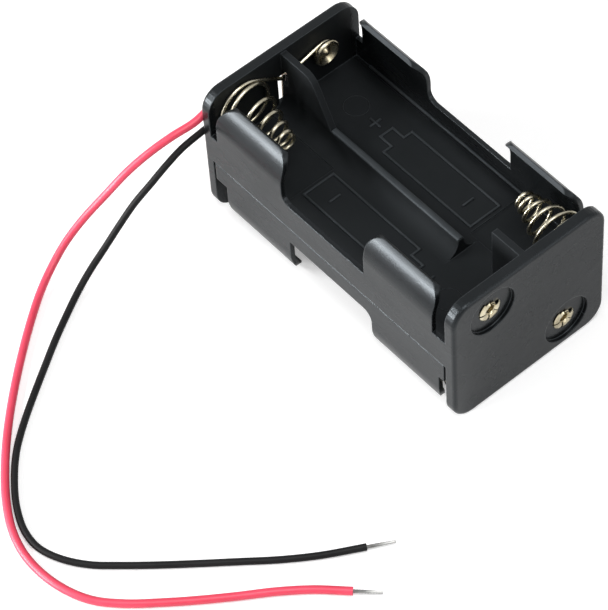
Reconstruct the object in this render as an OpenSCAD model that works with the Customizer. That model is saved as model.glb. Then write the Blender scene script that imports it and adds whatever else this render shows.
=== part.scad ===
// Back-to-back holder for four round cells, two bays on each face, wired in series.
// Millimetres. X runs along the cells, with the leads at the -X end. Z is up.
// The origin is on the standing surface, below the middle of the holder.

/* [Cells] */
// Largest diameter of a cell
cell_d = 14.5; // [14:0.1:15]
// Room between a cell and the wall or divider beside it
side_play = 0.075; // [0.05:0.005:0.2]

/* [Moulding] */
// Length over the two end plates
body_l = 61; // [59:0.5:64]
// Height of the end plates
plate_h = 28.2; // [28:0.1:29.5]
// Thickness of an end plate
plate_t = 2.05; // [1.9:0.05:2.6]
// Corner radius of an end plate
plate_r = 3.8; // [2:0.1:5]
// Rounding of an end plate's outer edge
edge_r = 0.6; // [0.2:0.05:0.8]
// Thickness of a side wall
wall_t = 0.85; // [0.7:0.05:1.2]
// Thickness of the web between the upper and lower bays
web_t = 2; // [1.6:0.1:2.4]
// Thickness of the divider between two bays
divider_t = 1.2; // [0.9:0.1:1.6]
// Radius of the cradle at the foot of the divider
cradle_r = 3; // [1.5:0.1:3.2]
// Height of the low part of the divider, from mid height
ridge_h = 4.3; // [4:0.1:5.5]
// Height of the tall divider at the lead end, from mid height
fin_h = 13.5; // [12:0.1:13.8]

/* [Clip tabs] */
// Height of the side wall between its tabs, from mid height
low_h = 4.7; // [4:0.1:6]
// Height of the wall between a tab and its end plate, from mid height
notch_h = 5.2; // [4.5:0.1:6.5]
// How far a tab wraps over the cell
lip_angle = 45; // [30:1:50]
// Rounding of a tab's free corners
tab_r = 3; // [1:0.1:4]
// Width of the notch between an end plate and the tab with the swept foot
notch_a = 1.7; // [1.5:0.1:4]
// Width of the notch between an end plate and the square-ended tab
notch_b = 3; // [1.5:0.1:4]
// Length of a tab
tab_l = 16.1; // [12:0.1:17]
// Radius of the swept foot
foot_r = 2; // [1:0.1:3]

/* [Rivets] */
// Diameter of a rivet's shank
shank_d = 2.6; // [2.2:0.1:3]
// Diameter of a rivet's head
head_d = 5; // [4.6:0.1:5.6]
// Height of a rivet's head
head_t = 0.95; // [0.7:0.05:1.2]
// Diameter of the spread end
spread_d = 4.4; // [3.8:0.1:5]
// Thickness of the spread end
spread_t = 0.45; // [0.3:0.05:0.6]
// Bore of the spread end
bore_d = 1.8; // [1.2:0.1:2]
// Diameter of the recess round the spread end
recess_d = 9.2; // [6.5:0.1:10]
// Depth of that recess
recess_t = 0.7; // [0.5:0.05:0.9]

/* [Springs] */
// Diameter of the spring wire
wire_d = 0.7; // [0.5:0.05:0.8]
// Outer diameter of a spring's first turn
spring_base_d = 10.1; // [9:0.1:11.5]
// Outer diameter of a spring's tip
spring_tip_d = 3.6; // [3:0.1:5]
// Length of a spring when no cell is in
spring_l = 11.3; // [9:0.1:13]
// Conical turns of a spring
spring_turns = 4; // [3:1:6]

/* [Leads] */
// Diameter of the red lead
red_d = 1.4; // [1.2:0.1:1.5]
// Diameter of the black lead
black_d = 1.2; // [1:0.1:1.4]
// Diameter of the bare tinned ends
bare_d = 0.6; // [0.4:0.1:0.8]
// Length of the bare tinned ends
bare_l = 4.7; // [3:0.1:6]

/* [Hidden] */

plastic = "#26282b";
nickel = "#b9b6a4";
brass = "#c7c1a0";
tin = "#c9cac6";
seat_gap = 0.02; // between pieces that lie on each other
fit_gap = 0.1; // round a shank or a wire in its hole

// Middle of the moulding, and the bays
mid_z = plate_h / 2;
inner_x = body_l / 2 - plate_t;
cell_y = divider_t / 2 + side_play + cell_d / 2;
cell_z = web_t / 2 + cell_d / 2;
wall_in = cell_y + cell_d / 2 + side_play;
plate_w = 2 * (wall_in + wall_t);
lip_in = cell_d / 2 + side_play;
lip_out = lip_in + wall_t;

// Side walls
tab_start = inner_x - notch_b - tab_l;
tab_top = cell_z + lip_out * sin(lip_angle);
slit_w = 0.45;
slit_top = 1;
seam_w = 0.2;
seam_t = 0.12;

// Dividers, along X
fin_x = 5.5 - inner_x;
fin_foot_x = fin_x + 6.5;
fin_r = 3;
post_x = inner_x - 6.15;
ridge_end_x = post_x - 7.9;
pocket_x = inner_x - 16;
pocket_t = 0.3;

// Slot, channel and holes for the wire tails, at the lead end
slot_y = [-1.6, 1.2];
slot_z = [1.5, 8.4];
channel_t = 1;
gate_w = 1.3;
gate_z = [6.4, 9.7];

// Springs: the first turn lies on the end plate, a little towards the side wall and the web
base_r = (spring_base_d - wire_d) / 2;
tip_r = (spring_tip_d - wire_d) / 2;
spring_y = cell_y + 1.2;
spring_z = cell_z - 0.35;
wire_u = wire_d / 2 + seat_gap;
first_rise = 1.1;
last_rise = 0.8;
steps = 16; // rings in a turn
eye_r = (shank_d + wire_d) / 2 + fit_gap / 2;
eye_turn = 290;
head_lift = wire_d + 2 * seat_gap;
bore_l = 1.6;

// Upper pair at the rivet end: the belt line from the coil to the eye round the rivet
belt_shift = 0.5;
belt_lean = 1.2;
belt_y = spring_y + belt_shift;
belt_span = [-cell_y - belt_y, cell_z - spring_z];
belt_l = norm(belt_span);
belt_dir = belt_span / belt_l;
belt_s = (base_r - eye_r) / belt_l;
belt_n = belt_s * -belt_dir + sqrt(1 - belt_s * belt_s) * [belt_dir[1], -belt_dir[0]];
belt_angle = atan2(-belt_n[1], -belt_n[0]);
belt_from = [belt_y, spring_z] + base_r * ring_point(belt_angle);
belt_to = [-cell_y, cell_z] + eye_r * ring_point(belt_angle);
belt_mid_z = belt_from[1] + (belt_to[1] - belt_from[1]) * belt_from[0] / (belt_from[0] - belt_to[0]);

// Solder joints behind the lead end plate
outer_x = -body_l / 2;
joint_d = 3.2;
joint_t = 1.35;
sleeve_d = 1.5;
sleeve_l = 1.5;
tail_run = 0.8;

// Where the tails pass the lead end plate: beside each other at the slot's upper end
slot_low = slot_z[1] - wire_d / 2 - fit_gap;
slot_in = [slot_y[0] + wire_d / 2 + fit_gap, slot_y[1] - wire_d / 2 - fit_gap];
tail_turn = slot_low + 0.2;

// Routes of the two leads, from the solder joint to the bare end, above the standing surface
red_route = [
    [-31.22, -6.52, 6.67], [-31.22, -4.2, 8.2], [-31.3, -2.4, 11.2], [-31.7, -1.9, 14.4],
    [-32.05, -2.7, 17.7], [-32.1, -4.5, 20.4], [-32, -7, 22], [-31.7, -10.2, 22.4],
    [-31.4, -13.6, 22], [-31.3, -17, 21.2],
    [-32.1, -21, 20.3], [-33.3, -25, 18.4], [-34.7, -28.8, 15.5], [-36.3, -32.8, 11.2],
    [-37.8, -37, 6.8], [-38.1, -40.8, 3.7], [-37, -44.9, 1.6], [-34.8, -49, 0.8],
    [-31.3, -53.7, 0.72], [-27.4, -58.4, 0.72], [-23.4, -62.9, 0.72], [-19.2, -67.3, 0.72],
    [-15, -71.3, 0.72], [-10.6, -75, 0.72], [-6, -78.3, 0.72], [-1, -81, 0.72],
    [4, -82.4, 0.72], [9, -82.5, 0.72], [13.6, -81.6, 0.72], [17.8, -79.7, 0.72],
    [21.6, -76.4, 0.72], [25.1, -72.3, 0.72], [28.9, -67.4, 0.72], [32.4, -62.5, 0.72],
    [35.6, -57.8, 0.72], [39.2, -53.3, 0.72], [43.5, -49, 0.72]];
black_route = [
    [-31.12, -7.8, 18.5], [-31.12, -10.4, 18.5], [-31.12, -13.5, 18.3], [-31.12, -17, 17.9],
    [-31.1, -20.4, 17.3], [-31.1, -23.8, 15.8], [-31.4, -27, 13.5], [-32.1, -30.2, 10.5],
    [-32.5, -33.6, 7], [-32.5, -37, 4], [-32, -40.6, 1.9], [-30.7, -44.2, 0.85],
    [-28.4, -48.4, 0.62], [-25.6, -53, 0.62], [-22.4, -57.8, 0.62], [-19.2, -62.5, 0.62],
    [-15.9, -67.1, 0.62], [-12.4, -71.3, 0.62], [-8.3, -74.9, 0.62], [-3.8, -77.9, 0.62],
    [0.6, -79.7, 0.62], [4.4, -80, 0.62], [8.3, -78.7, 0.62], [12.2, -76.1, 0.62],
    [15.6, -72.6, 0.62], [19.5, -68.2, 0.62], [23.6, -63.3, 0.62], [27.6, -58.4, 0.62],
    [31.5, -53.6, 0.62], [35.1, -48.5, 0.62], [38.8, -42.1, 0.62]];

// ---------- Points and sweeps ----------

function ring_point(a) = [cos(a), sin(a)];
function arc(c, r, a0, a1, n = 8) = [for (i = [0 : n]) c + r * ring_point(a0 + (a1 - a0) * i / n)];
function unit(v) = v / norm(v);

// Direction of a path at one of its points
function heading(p, i) = unit(p[min(i + 1, len(p) - 1)] - p[max(i - 1, 0)]);
// A side vector carried along the path without turning about it
function carry(v, t) = unit(v - (v * t) * t);
function any_side(t) = carry(abs(t[2]) < 0.9 ? [0, 0, 1] : [0, 1, 0], t);
function sides_along(p) = [for (i = 0, v = any_side(heading(p, 0)); i < len(p);
    v = i + 1 < len(p) ? carry(v, heading(p, i + 1)) : v, i = i + 1) v];

// A round wire swept along a path, with flat ends
module wire(path, d, sides = 8) {
    side = sides_along(path);
    last = (len(path) - 1) * sides;
    points = [for (i = [0 : len(path) - 1], k = [0 : sides - 1])
        let (a = 360 * k / sides, t = heading(path, i))
        path[i] + d / 2 * (cos(a) * side[i] + sin(a) * cross(t, side[i]))];
    skin = [for (i = [0 : len(path) - 2], k = [0 : sides - 1])
        let (a = i * sides + k, b = i * sides + (k + 1) % sides)
        each [[a, a + sides, b], [b, a + sides, b + sides]]];
    ends = [for (k = [1 : sides - 2]) each [[0, k, k + 1], [last, last + k + 1, last + k]]];
    polyhedron(points, concat(skin, ends));
}

// One spring's turns, from its first turn on the plate to its tip. u is the distance from the
// plate, turning the way that spin says, with y and z about the spring's axis.
cone_turns = spring_turns - 1;
cone_l = spring_l - wire_u - first_rise - last_rise;
function spring_u(turn) = wire_u + (turn < 1 ? first_rise * turn * turn
    : turn < spring_turns ? first_rise + cone_l * (turn - 1) / cone_turns
    : first_rise + cone_l + last_rise * (turn - spring_turns));
function spring_r(turn) = turn < 1 ? base_r
    : tip_r + (base_r - tip_r) * (turn < spring_turns ? 1 - pow((turn - 1) / cone_turns, 1.2) : 0);
function coil(angle, spin, lean = 0) = [for (i = [0 : steps * (spring_turns + 1)])
    let (turn = i / steps, a = angle + spin * 360 * turn, u = spring_u(turn), r = spring_r(turn))
    [u, r * cos(a) + lean * u / spring_l, r * sin(a)]];

// Places points given as [distance from the plate, y, z] at an end plate
function at_lead_end(p) = [for (q = p) [-inner_x + q[0], q[1], q[2]]];
function at_rivet_end(p) = [for (q = p) [inner_x - q[0], q[1], q[2]]];
function about(p, y, z) = [for (q = p) q + [0, y, z]];

// ---------- Moulded body ----------

module upright() translate([0, 0, mid_z]) children();
module rivet_end_turned() rotate([180, 0, 0]) children();
module half_turned() rotate([0, 180, 0]) children();

// Extrudes a section drawn in Y and Z along X
module along_x(from, to) translate([from, 0, 0]) rotate([90, 0, 90])
    linear_extrude(to - from) children();
// Extrudes an outline drawn in X and Z along Y
module along_y(from, to) translate([0, to, 0]) rotate([90, 0, 0])
    linear_extrude(to - from) children();

// End plate at +X, with rounded corners and a rounded outer edge
module end_plate() translate([inner_x, 0, 0]) rotate([0, 90, 0]) hull()
    for (z = [-1, 1], y = [-1, 1], a = [0, 30, 60, 90])
        translate([z * (plate_h / 2 - plate_r), y * (plate_w / 2 - plate_r), 0])
            cylinder(r = plate_r - edge_r * (1 - cos(a)), h = plate_t - edge_r * (1 - sin(a)),
                $fn = 32);

module web() translate([-inner_x, -wall_in, -web_t / 2]) cube([2 * inner_x, 2 * wall_in, web_t]);

// Wall section at +Y: upright, then wrapped over the cell
module wall_section() {
    translate([wall_in, 0]) square([wall_t, cell_z]);
    translate([cell_y, cell_z]) intersection() {
        difference() {
            circle(r = lip_out, $fn = 96);
            circle(r = lip_in, $fn = 96);
        }
        polygon([[0, 0], [2 * lip_out, 0], [2 * lip_out, 2 * lip_out * tan(lip_angle)]]);
    }
}

// A tab's outline, with its two free corners rounded by r and tab_r
module tab_outline(x, r) translate([x, 0]) {
    square([tab_l, tab_top - max(r, tab_r)]);
    translate([r, 0]) square([tab_l - r - tab_r, tab_top]);
    translate([r, tab_top - r]) circle(r = r, $fn = 48);
    translate([tab_l - tab_r, tab_top - tab_r]) circle(r = tab_r, $fn = 48);
    translate([tab_l / 2, 0]) square([tab_l / 2, tab_top - tab_r]);
}

// Wall outline above mid height: a tab with a swept foot at the lead end, a square one at the other
module wall_outline() {
    translate([-inner_x, 0]) square([2 * inner_x, low_h]);
    translate([-inner_x, 0]) square([notch_a, notch_h]);
    translate([inner_x - notch_b, 0]) square([notch_b, notch_h]);
    tab_outline(-inner_x + notch_a, tab_r + 1.5);
    tab_outline(tab_start, tab_r);
    translate([-inner_x + notch_a + tab_l, low_h]) difference() {
        square(foot_r);
        translate([foot_r, foot_r]) circle(r = foot_r, $fn = 48);
    }
}

module upper_wall() intersection() {
    along_x(-inner_x, inner_x) wall_section();
    along_y(cell_y, plate_w / 2 + 1) wall_outline();
}

// Divider section: a thin fin with a cradle at its foot on each side
module divider_section() {
    translate([-divider_t / 2, 0]) square([divider_t, plate_h / 2]);
    for (m = [0, 1]) mirror([m, 0]) translate([divider_t / 2, web_t / 2]) difference() {
        square(cradle_r);
        translate([cradle_r, cradle_r]) circle(r = cradle_r, $fn = 48);
    }
}

// Divider outline above mid height: fin and ridge from the lead end, then a gap and a post
module divider_outline() {
    slope = atan2(fin_h - ridge_h, fin_foot_x - fin_x - fin_r * 0.6);
    polygon(concat([[-inner_x, 0], [-inner_x, fin_h]],
        arc([fin_x, fin_h - fin_r], fin_r, 90, 90 - slope),
        [[fin_foot_x, ridge_h], [ridge_end_x, ridge_h], [ridge_end_x, 0]]));
    translate([post_x, 0]) square([inner_x - post_x, plate_h / 2]);
}

module upper_divider() intersection() {
    along_x(-inner_x, inner_x) divider_section();
    along_y(-plate_w / 2, plate_w / 2) divider_outline();
}

// A shallow pocket in the web under each upper spring
module upper_pockets() for (m = [0, 1]) rotate([0, 0, 180 * m])
    translate([pocket_x, divider_t / 2 + cradle_r, web_t / 2 - pocket_t])
        cube([inner_x - pocket_x, wall_in - divider_t / 2 - cradle_r, 2 * pocket_t]);

// Slits that free the lower walls from the end plates, and the seam along each side
module slits_and_seam() {
    for (x = [-inner_x, inner_x - slit_w])
        translate([x, wall_in, -notch_h - 1]) cube([slit_w, wall_t + 1, notch_h + 1 - slit_top]);
    translate([-inner_x, plate_w / 2 - seam_t, -slit_top - seam_w])
        cube([2 * inner_x, 1, seam_w]);
}

// Hole for a rivet's shank, with the round recess on the outer face, on the +X axis
module rivet_seat() {
    translate([inner_x - 1, 0, 0]) rotate([0, 90, 0])
        cylinder(d = shank_d + fit_gap, h = plate_t + 2, $fn = 48);
    translate([body_l / 2 - recess_t, 0, 0]) rotate([0, 90, 0])
        cylinder(d = recess_d, h = recess_t + 1, $fn = 96);
}

// The tail slots in the lead end plate and the channel that joins them on its outer face
module tail_slots() {
    for (m = [0, 1]) mirror([0, 0, m])
        translate([outer_x - 1, slot_y[0], slot_z[0]])
            cube([plate_t + 1, slot_y[1] - slot_y[0], slot_z[1] - slot_z[0]]);
    translate([outer_x - 1, slot_y[0], -slot_z[1]])
        cube([channel_t + 1, slot_y[1] - slot_y[0], 2 * slot_z[1]]);
}

// Gates in the dividers that let the wire tails pass along the end plates
module tail_gates() {
    for (m = [0, 1]) mirror([0, 0, m])
        translate([-inner_x, -divider_t, gate_z[0]])
            cube([gate_w, 2 * divider_t, gate_z[1] - gate_z[0]]);
    for (m = [0, 1]) rotate([180 * m, 0, 0])
        translate([inner_x - gate_w, -divider_t / 2 - cradle_r, belt_mid_z - gate_w])
            cube([gate_w, divider_t + 2 * cradle_r, 2 * gate_w]);
}

module body() color(plastic) upright() difference() {
    union() {
        for (m = [0, 1]) mirror([m, 0, 0]) end_plate();
        web();
        for (m = [0, 1]) mirror([0, m, 0]) {
            upper_wall();
            half_turned() upper_wall();
        }
        upper_divider();
        half_turned() upper_divider();
    }
    for (m = [0, 1]) mirror([0, m, 0]) slits_and_seam();
    upper_pockets();
    half_turned() upper_pockets();
    for (s = [-1, 1]) {
        translate([0, s * cell_y, -s * cell_z]) rivet_seat();
        mirror([1, 0, 0]) translate([0, s * cell_y, s * cell_z]) rivet_seat();
    }
    tail_slots();
    tail_gates();
}

// ---------- Rivets ----------

// A rivet along +X through an end plate: dished head inside, spread and split end outside
module rivet(lift) {
    seat = plate_t - recess_t + seat_gap;
    head_r = head_d / 2;
    round_r = head_t / 2;
    difference() {
        translate([inner_x, 0, 0]) rotate([0, 90, 0]) rotate_extrude($fn = 64) polygon(concat(
            [[0, -lift - head_t * 0.55], [bore_d * 0.4, -lift - head_t * 0.6]],
            arc([head_r - 2 * round_r, -lift - round_r], round_r, -110, -90, 2),
            arc([head_r - round_r, -lift - round_r], round_r, -90, 90),
            [[shank_d / 2, -lift], [shank_d / 2, seat], [spread_d / 2 - spread_t / 2, seat]],
            arc([spread_d / 2 - spread_t / 2, seat + spread_t / 2], spread_t / 2, -90, 90, 6),
            [[bore_d / 2 + spread_t / 2, seat + spread_t], [bore_d / 2, seat + spread_t / 2],
                [bore_d / 2, seat + spread_t - bore_l], [0, seat + spread_t - bore_l]]));
        for (a = [0 : 60 : 300]) rotate([a, 0, 0])
            translate([inner_x + seat - 0.01, bore_d / 2 + 0.25, -0.18]) cube([2, spread_d, 0.36]);
    }
}

module rivet_1() color(brass) upright() translate([0, -cell_y, cell_z]) rivet(head_lift);
module rivet_2() color(brass) upright()
    mirror([1, 0, 0]) translate([0, cell_y, cell_z]) rivet(head_lift);
module rivet_3() color(brass) upright() translate([0, cell_y, -cell_z]) rivet(head_lift);
module rivet_4() color(brass) upright()
    mirror([1, 0, 0]) translate([0, -cell_y, -cell_z]) rivet(seat_gap);

// ---------- Contact springs ----------

// The open eye that a tail makes round a rivet's shank
function eye(angle, spin) = [for (i = [0 : 11]) let (a = angle - spin * eye_turn * (11 - i) / 11)
    [wire_u, eye_r * cos(a), eye_r * sin(a)]];

// The bend of a tail out through an end of the slot in the lead end plate: u and height
slot_bend = [[wire_u, tail_turn], [0.1, slot_low - 0.05], [-0.4, slot_low - 0.45],
    [-1, slot_low - 1]];
function bend(y, side) = [for (q = slot_bend) [q[0], y, side * q[1]]];
function reversed(p) = [for (i = [len(p) - 1 : -1 : 0]) p[i]];
// The angle at which a line from a point touches a circle, on the side that turn says
function touch(from, centre, r, turn) = let (d = from - centre)
    atan2(d[1], d[0]) + turn * acos(r / norm(d));

// Spring at the rivet end whose tail crosses to the eye round its neighbour's rivet
module rivet_end_spring() {
    tail = about(eye(belt_angle, 1), -cell_y, cell_z);
    turns = about(coil(belt_angle, 1, belt_lean), belt_y, spring_z);
    wire(at_rivet_end(concat(tail, turns)), wire_d);
}

// Upper bay at the lead end: the tail goes out through the slot to the black lead
module spring_1() color(nickel) upright() {
    start = touch([slot_in[0], tail_turn], [-spring_y, spring_z], base_r, 1);
    out = -plate_t - wire_u;
    lead = black_route[0];
    end_y = lead[1] + 2 * seat_gap + sleeve_l;
    end_z = lead[2] - mid_z;
    tail = [[out, end_y, end_z], [out, end_y + tail_run, end_z],
        [out, slot_in[0] - 0.4, slot_low - 2], [out + 0.08, slot_in[0], slot_low - 1.75],
        [out + 0.7, slot_in[0], slot_low - 1.4]];
    turns = about(coil(start, 1), -spring_y, spring_z);
    wire(at_lead_end(concat(tail, reversed(bend(slot_in[0], 1)), turns)), wire_d);
}

// Upper bay at the rivet end
module spring_2() color(nickel) upright() rivet_end_spring();

// Lower bay at the lead end: the tail climbs in the channel to the upper rivet
module spring_3() color(nickel) upright() {
    start = touch([slot_in[1], -tail_turn], [spring_y, -spring_z], base_r, 1);
    leave = touch([slot_in[1], tail_turn], [cell_y, cell_z], eye_r, -1);
    deep = channel_t - plate_t - wire_u;
    climb = [[deep, slot_in[1], slot_low - 1.7], [deep, slot_in[1], 1.7 - slot_low]];
    loop = about(eye(leave, 1), cell_y, cell_z);
    turns = about(coil(start, 1), spring_y, -spring_z);
    wire(at_lead_end(concat(loop, bend(slot_in[1], 1), climb, reversed(bend(slot_in[1], -1)), turns)),
        wire_d);
}

// Lower bay at the rivet end
module spring_4() color(nickel) upright() rivet_end_turned() rivet_end_spring();

// ---------- Leads ----------

// The bare wire that stands out of a lead's far end, in line with its last stretch
module bare_end(route) {
    tip = route[len(route) - 1];
    run = tip - route[len(route) - 2];
    translate(tip) rotate([0, 90, atan2(run[1], run[0])]) translate([0, 0, seat_gap])
        cylinder(d = bare_d, h = bare_l, $fn = 32);
}

module red_lead() color("#d8405a") wire(red_route, red_d);
module black_lead() color("#17181a") wire(black_route, black_d);
module red_bare_end() color(tin) bare_end(red_route);
module black_bare_end() color(tin) bare_end(black_route);

// Solder dome on the spread end of the lower rivet
module red_joint() color(tin) upright()
    translate([outer_x + recess_t - 2 * seat_gap - spread_t, -cell_y, -cell_z]) rotate([0, -90, 0])
        rotate_extrude($fn = 48) polygon(concat([[0, 0], [joint_d / 2, 0]],
            [for (a = [15 : 15 : 75]) [joint_d / 2 * cos(a), joint_t * sin(a)]], [[0, joint_t]]));

// Solder barrel between the upper spring's tail and the black lead
module black_joint() color(tin)
    translate([outer_x - sleeve_d / 2 - seat_gap, black_route[0][1] + seat_gap, black_route[0][2]])
        rotate([-90, 0, 0]) rotate_extrude($fn = 48) polygon(concat([[0, 0]],
            [for (i = [0 : 6]) [sleeve_d / 2 * (0.72 + 0.28 * sin(30 * i)), sleeve_l * i / 6]],
            [[0, sleeve_l]]));

body();
spring_1();
spring_2();
spring_3();
spring_4();
rivet_1();
rivet_2();
rivet_3();
rivet_4();
red_lead();
black_lead();
red_bare_end();
black_bare_end();
red_joint();
black_joint();
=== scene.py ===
"""Looks of a back-to-back holder for round cells.

The moulded body keeps its solid and takes a finish. The springs, the rivets and the leads are
drawn here with their true detail, and fine marks are raised on the floors of the bays. Lengths
are in millimetres where a docstring says so, and in metres otherwise.
"""

import logging
import math
from dataclasses import dataclass, field
from enum import Enum

import bpy
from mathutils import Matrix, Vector


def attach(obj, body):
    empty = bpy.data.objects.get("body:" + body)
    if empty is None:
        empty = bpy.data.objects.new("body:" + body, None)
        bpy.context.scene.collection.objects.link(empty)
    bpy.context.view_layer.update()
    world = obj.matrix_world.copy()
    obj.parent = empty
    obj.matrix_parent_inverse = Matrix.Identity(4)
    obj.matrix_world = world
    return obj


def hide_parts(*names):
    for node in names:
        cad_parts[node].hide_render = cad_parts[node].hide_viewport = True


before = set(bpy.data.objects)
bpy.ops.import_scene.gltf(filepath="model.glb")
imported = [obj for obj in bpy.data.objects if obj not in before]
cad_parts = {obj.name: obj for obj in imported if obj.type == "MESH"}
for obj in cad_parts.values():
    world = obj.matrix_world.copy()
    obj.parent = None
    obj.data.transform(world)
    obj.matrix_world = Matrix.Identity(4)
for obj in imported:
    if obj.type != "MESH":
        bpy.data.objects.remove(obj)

LOG = logging.getLogger("cell_holder")
MM = 0.001
WELD = 1e-7
Point = tuple[float, float, float]


# Helpers


def clear_selection() -> None:
    """Leaves edit mode and deselects every object."""
    if bpy.context.object and bpy.context.object.mode != "OBJECT":
        bpy.ops.object.mode_set(mode="OBJECT")
    bpy.ops.object.select_all(action="DESELECT")


def pick(obj: bpy.types.Object) -> bpy.types.Object:
    """Selects one object and makes it active.

    Args:
        obj: The object to select.

    Returns:
        The same object.
    """
    clear_selection()
    obj.select_set(True)
    bpy.context.view_layer.objects.active = obj
    return obj


def smooth_line(points: list[Vector], step: float) -> list[Vector]:
    """Runs a centripetal curve through chosen points.

    Args:
        points: The points that the curve passes.
        step: The longest distance between two points of the result, in metres.

    Returns:
        Closely spaced points along the curve.
    """
    ends = [2 * points[0] - points[1], *points, 2 * points[-1] - points[-2]]
    line: list[Vector] = []
    for a, b, c, d in zip(ends, ends[1:], ends[2:], ends[3:]):
        knots = [0.0]
        for p, q in ((a, b), (b, c), (c, d)):
            knots.append(knots[-1] + math.sqrt((q - p).length))
        count = max(1, math.ceil((c - b).length / step))
        for i in range(count):
            t = knots[1] + (knots[2] - knots[1]) * i / count
            line.append(_blend((a, b, c, d), knots, t))
    line.append(points[-1].copy())
    return line


def _blend(p: tuple[Vector, ...], k: list[float], t: float) -> Vector:
    """Returns the centripetal curve's point at knot value t."""
    a = [p[i].lerp(p[i + 1], (t - k[i]) / (k[i + 1] - k[i])) for i in range(3)]
    b = [a[i].lerp(a[i + 1], (t - k[i]) / (k[i + 2] - k[i])) for i in range(2)]
    return b[0].lerp(b[1], (t - k[1]) / (k[2] - k[1]))


def tube(name: str, line: list[Vector], radius: float, sides: int = 16) -> bpy.types.Object:
    """Makes a round wire along a line of points, with closed ends.

    Args:
        name: The new piece's name.
        line: Closely spaced points, in metres.
        radius: The wire's radius, in metres.
        sides: Faces round the wire, a multiple of four.

    Returns:
        The mesh object.
    """
    clear_selection()
    bpy.ops.curve.primitive_nurbs_path_add()
    obj = bpy.context.object
    obj.name = obj.data.name = name
    curve = obj.data
    curve.splines.clear()
    spline = curve.splines.new("POLY")
    spline.points.add(len(line) - 1)
    for point, place in zip(spline.points, line):
        point.co = (*place, 1.0)
    curve.bevel_depth = radius
    curve.bevel_resolution = sides // 4 - 1
    curve.use_fill_caps = True
    curve.twist_mode = "MINIMUM"
    bpy.ops.object.convert(target="MESH")
    bpy.ops.object.mode_set(mode="EDIT")
    bpy.ops.mesh.select_all(action="SELECT")
    bpy.ops.mesh.remove_doubles(threshold=WELD)
    bpy.ops.mesh.normals_make_consistent(inside=False)
    bpy.ops.object.mode_set(mode="OBJECT")
    bpy.ops.object.shade_smooth_by_angle(angle=math.radians(50))
    return obj


def dress(obj: bpy.types.Object, material: bpy.types.Material) -> None:
    """Gives every material slot of a piece one finish."""
    if not obj.material_slots:
        obj.data.materials.append(material)
    for slot in obj.material_slots:
        slot.material = material


def join(parts: list[bpy.types.Object], name: str) -> bpy.types.Object:
    """Joins pieces into one and names it."""
    clear_selection()
    for part in parts:
        part.select_set(True)
    bpy.context.view_layer.objects.active = parts[0]
    if len(parts) > 1:
        bpy.ops.object.join()
    piece = bpy.context.object
    piece.name = piece.data.name = name
    return piece


def finish_piece(piece: bpy.types.Object, material: bpy.types.Material,
                 stands_for: str = "", angle: float = 40) -> None:
    """Dresses a new piece and hangs it on the holder.

    Args:
        piece: The new piece.
        material: Its finish.
        stands_for: The node that it replaces, or nothing.
        angle: Edges flatter than this, in degrees, are shaded smooth.
    """
    pick(piece)
    bpy.ops.object.transform_apply(location=True, rotation=True, scale=True)
    bpy.ops.object.shade_smooth_by_angle(angle=math.radians(angle))
    dress(piece, material)
    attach(piece, "root")
    if stands_for:
        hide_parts(stands_for)


def block(low: Point, high: Point, bevel: float) -> bpy.types.Object:
    """Adds a block with rounded edges between two corners.

    Args:
        low: Its lowest corner, in millimetres.
        high: Its highest corner, in millimetres.
        bevel: How far its edges are rounded, in millimetres.

    Returns:
        The block.
    """
    clear_selection()
    middle = [(a + b) / 2 * MM for a, b in zip(low, high)]
    bpy.ops.mesh.primitive_cube_add(size=1, location=middle,
                                    scale=[(b - a) * MM for a, b in zip(low, high)])
    obj = bpy.context.object
    bpy.ops.object.transform_apply(location=True, rotation=True, scale=True)
    pick(obj)
    modifier = obj.modifiers.new("edges", "BEVEL")
    modifier.width = bevel * MM
    modifier.segments = 2
    modifier.limit_method = "ANGLE"
    bpy.ops.object.modifier_apply(modifier=modifier.name)
    return obj


def turned(name: str, profile: list[tuple[float, float]], centre: Point, facing: float,
           arc: tuple[float, float] = (0.0, 360.0), steps: int = 48) -> bpy.types.Object:
    """Spins a profile about an axis along X.

    Args:
        name: The new piece's name.
        profile: Pairs of distance from the axis and height along it, in millimetres.
        centre: A point of the axis, in millimetres, where the height is nought.
        facing: 1 where the height grows towards +X, -1 where it grows towards -X.
        arc: The first and last angle of the spin, in degrees.
        steps: Faces round the spin.

    Returns:
        The spun piece, open where its arc isn't a whole turn.
    """
    clear_selection()
    bpy.ops.mesh.primitive_plane_add(size=1)
    obj = bpy.context.object
    obj.name = obj.data.name = name
    first, span = math.radians(arc[0]), math.radians(arc[1] - arc[0])
    at = [(Vector(centre) + Vector((facing * h, r * math.cos(first), r * math.sin(first)))) * MM
          for r, h in profile]
    obj.data.clear_geometry()
    obj.data.from_pydata(at, [(i, i + 1) for i in range(len(at) - 1)], [])
    bpy.ops.object.mode_set(mode="EDIT")
    bpy.ops.mesh.select_all(action="SELECT")
    bpy.ops.mesh.spin(steps=steps, angle=span, center=Vector(centre) * MM, axis=(1, 0, 0))
    bpy.ops.mesh.select_all(action="SELECT")
    bpy.ops.mesh.remove_doubles(threshold=WELD)
    bpy.ops.mesh.normals_make_consistent(inside=False)
    bpy.ops.object.mode_set(mode="OBJECT")
    return obj


# Finishes


# A Mix node has sockets of one name for each kind of value, so its colours go by number.
MIX_COLOUR_A, MIX_COLOUR_B, MIX_COLOUR_RESULT = 6, 7, 2


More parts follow.
